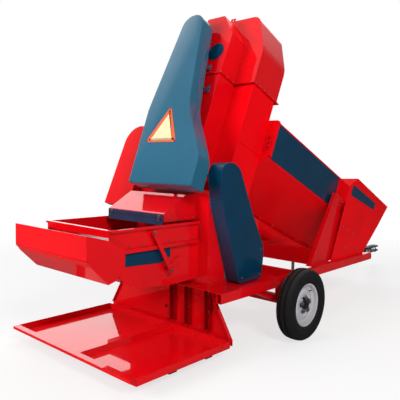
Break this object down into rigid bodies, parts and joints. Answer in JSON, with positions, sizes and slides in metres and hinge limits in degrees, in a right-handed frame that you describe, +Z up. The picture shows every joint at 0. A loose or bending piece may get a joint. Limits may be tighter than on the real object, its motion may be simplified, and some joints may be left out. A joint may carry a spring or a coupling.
{
  "type": "trailed crop thresher",
  "caption": "Trailed thresher with leaning hopper and screw, aspiration tower and hood, belt guards, shaking sieve shoe with tailings trough, and a hinged bagging platform.",
  "frame": {"origin": "middle of the footprint on the ground", "axes": "+X forward to the hitch, +Y to the left, +Z up"},
  "size_m": [6.408, 2.248, 3.3533],
  "materials": {
    "red_paint": "gloss",
    "navy_paint": "gloss",
    "silver_paint": "satin",
    "black_paint": "satin",
    "dark_paint": "satin",
    "steel": "satin",
    "cast_iron": "matte",
    "tyre": "matte",
    "rubber": "matte"
  },
  "bodies": {
    "chassis": {"right_rail": "red_paint", "left_rail": "red_paint", "cross_members": "red_paint", "deck_plate": "red_paint", "axle_beam": "red_paint", "right_drawbar": "dark_paint", "left_drawbar": "dark_paint", "hitch_clevis": "dark_paint", "jack_sleeve": "dark_paint", "stand_plate": "red_paint", "hinge_pins": "steel", "base_box": "red_paint", "tower_casing": "red_paint", "hood": "red_paint", "drive_leg": "red_paint", "head_cover": "navy_paint", "dust_duct": "red_paint", "feed_hopper": "red_paint", "hopper_front": "red_paint", "hopper_panels": "navy_paint", "auger_trough": "red_paint", "right_post": "red_paint", "left_post": "red_paint", "saddle_beam": "red_paint", "air_duct": "red_paint", "duct_panels": "navy_paint", "discharge_chute": "red_paint", "rubber_flap": "rubber", "tall_guard": "navy_paint", "head_belt": "rubber", "gearbox": "dark_paint", "small_guard": "navy_paint", "guard_backplate": "navy_paint", "side_belt": "rubber"},
    "right_wheel": {"right_tyre": "tyre", "right_rim": "silver_paint", "right_hub": "black_paint"},
    "left_wheel": {"left_tyre": "tyre", "left_rim": "silver_paint", "left_hub": "black_paint"},
    "parking_leg": {"jack_leg": "steel"},
    "bag_platform": {"platform": "red_paint", "platform_feet": "rubber"},
    "shoe": {"sieve_shoe": "red_paint", "sieve_screens": "steel", "tailings_trough": "red_paint", "pitman": "steel"},
    "right_rocker_arm": {"right_rocker": "red_paint"},
    "left_rocker_arm": {"left_rocker": "red_paint"},
    "main_drive": {"main_shaft": "steel", "auger_flight": "steel", "drive_pulley": "cast_iron"},
    "head_drive": {"head_shaft": "steel", "head_fan": "steel", "head_pulley": "cast_iron"},
    "cross_drive": {"cross_shaft": "steel", "upper_pulley": "cast_iron"},
    "fan_drive": {"fan_shaft": "steel", "fan_rotor": "steel", "lower_pulley": "cast_iron"}
  },
  "joints": [
    {"name": "right_wheel_spin", "type": "hinge", "parent": "chassis", "child": "right_wheel", "pos_m": [-0.986, -1.034, 0.36], "axis": [0, 1, 0], "continuous": true},
    {"name": "left_wheel_spin", "type": "hinge", "parent": "chassis", "child": "left_wheel", "pos_m": [-0.986, 1.034, 0.36], "axis": [0, 1, 0], "continuous": true},
    {"name": "parking_leg_slide", "type": "slide", "parent": "chassis", "child": "parking_leg", "axis": [0, 0, 1], "range_m": [0, 0.22]},
    {"name": "platform_hinge", "type": "hinge", "parent": "chassis", "child": "bag_platform", "pos_m": [-1.892, 0, 0.14], "axis": [0, 1, 0], "range_deg": [0, 28]},
    {"name": "shoe_slide", "type": "slide", "parent": "chassis", "child": "shoe", "axis": [0.8673, 0, 0.4977], "range_m": [-0.012, 0.012]},
    {"name": "right_rocker_pivot", "type": "hinge", "parent": "chassis", "child": "right_rocker_arm", "pos_m": [-2.287, -0.485, 0.808], "axis": [0, 1, 0], "range_deg": [-1.75, 1.75]},
    {"name": "left_rocker_pivot", "type": "hinge", "parent": "chassis", "child": "left_rocker_arm", "pos_m": [-2.287, 0.485, 0.808], "axis": [0, 1, 0], "range_deg": [-1.75, 1.75]},
    {"name": "main_spin", "type": "hinge", "parent": "chassis", "child": "main_drive", "pos_m": [-0.51712, 0, 1.10461], "axis": [0.9205, 0, -0.3907], "continuous": true},
    {"name": "head_spin", "type": "hinge", "parent": "chassis", "child": "head_drive", "pos_m": [0.07679, 0.06, 2.50377], "axis": [0.9205, 0, -0.3907], "continuous": true},
    {"name": "cross_spin", "type": "hinge", "parent": "chassis", "child": "cross_drive", "pos_m": [-1.76901, -0.4, 1.636], "axis": [0, 1, 0], "continuous": true},
    {"name": "fan_spin", "type": "hinge", "parent": "chassis", "child": "fan_drive", "pos_m": [-1.436, 0, 0.8], "axis": [0, 1, 0], "continuous": true}
  ],
  "couplings": [
    {"joint": "right_rocker_pivot", "follows": "shoe_slide", "rad_per_m": 2.464},
    {"joint": "left_rocker_pivot", "follows": "shoe_slide", "rad_per_m": 2.464},
    {"joint": "head_spin", "follows": "main_spin", "ratio": 1.95},
    {"joint": "cross_spin", "follows": "main_spin", "ratio": 1},
    {"joint": "fan_spin", "follows": "main_spin", "ratio": 0.65625}
  ]
}
